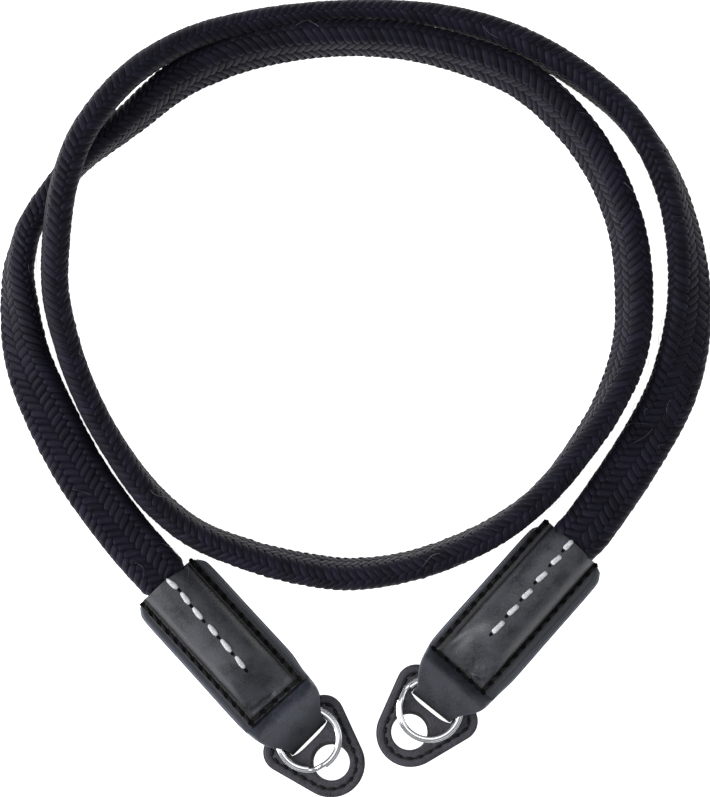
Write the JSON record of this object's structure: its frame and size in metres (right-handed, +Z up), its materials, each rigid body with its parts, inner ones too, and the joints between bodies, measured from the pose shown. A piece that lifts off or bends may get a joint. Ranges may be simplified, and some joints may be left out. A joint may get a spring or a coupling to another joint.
{
  "type": "coiled silk camera strap",
  "caption": "Neck strap of flat braided silk cord lying in two turns, with stitched leather ends, round-tipped pads and split rings.",
  "frame": {"origin": "on the table, under the middle of the box round the two leather ends, cord left out", "axes": "+Z up from the table; +X from the left end towards the right end; +Y from the ends towards the far side of the coil"},
  "size_m": [0.1769, 0.1993, 0.0263],
  "materials": {
    "silk": "flat braid of black silk strands with a soft sheen",
    "strip_leather": "smooth dark leather with cut edges",
    "cover_leather": "thin soft satin leather, creased, sewn down with black thread",
    "pad_leather": "matt leather in two layers, sewn round its edge",
    "steel": "bright polished flat wire"
  },
  "bodies": {
    "strap": {"silk_cord": "silk", "left_end_strap": "strip_leather", "left_cover": "cover_leather", "left_lug_pad": "pad_leather", "right_end_strap": "strip_leather", "right_cover": "cover_leather", "right_lug_pad": "pad_leather"},
    "left_ring": {"left_split_ring": "steel"},
    "right_ring": {"right_split_ring": "steel"}
  },
  "joints": [
    {"name": "left_ring_turn", "type": "hinge", "parent": "strap", "child": "left_ring", "pos_m": [-0.01519, -0.01966, 0.0048], "axis": [0, 0, 1], "continuous": true},
    {"name": "right_ring_turn", "type": "hinge", "parent": "strap", "child": "right_ring", "pos_m": [0.01515, -0.01223, 0.0048], "axis": [0, 0, 1], "continuous": true}
  ]
}
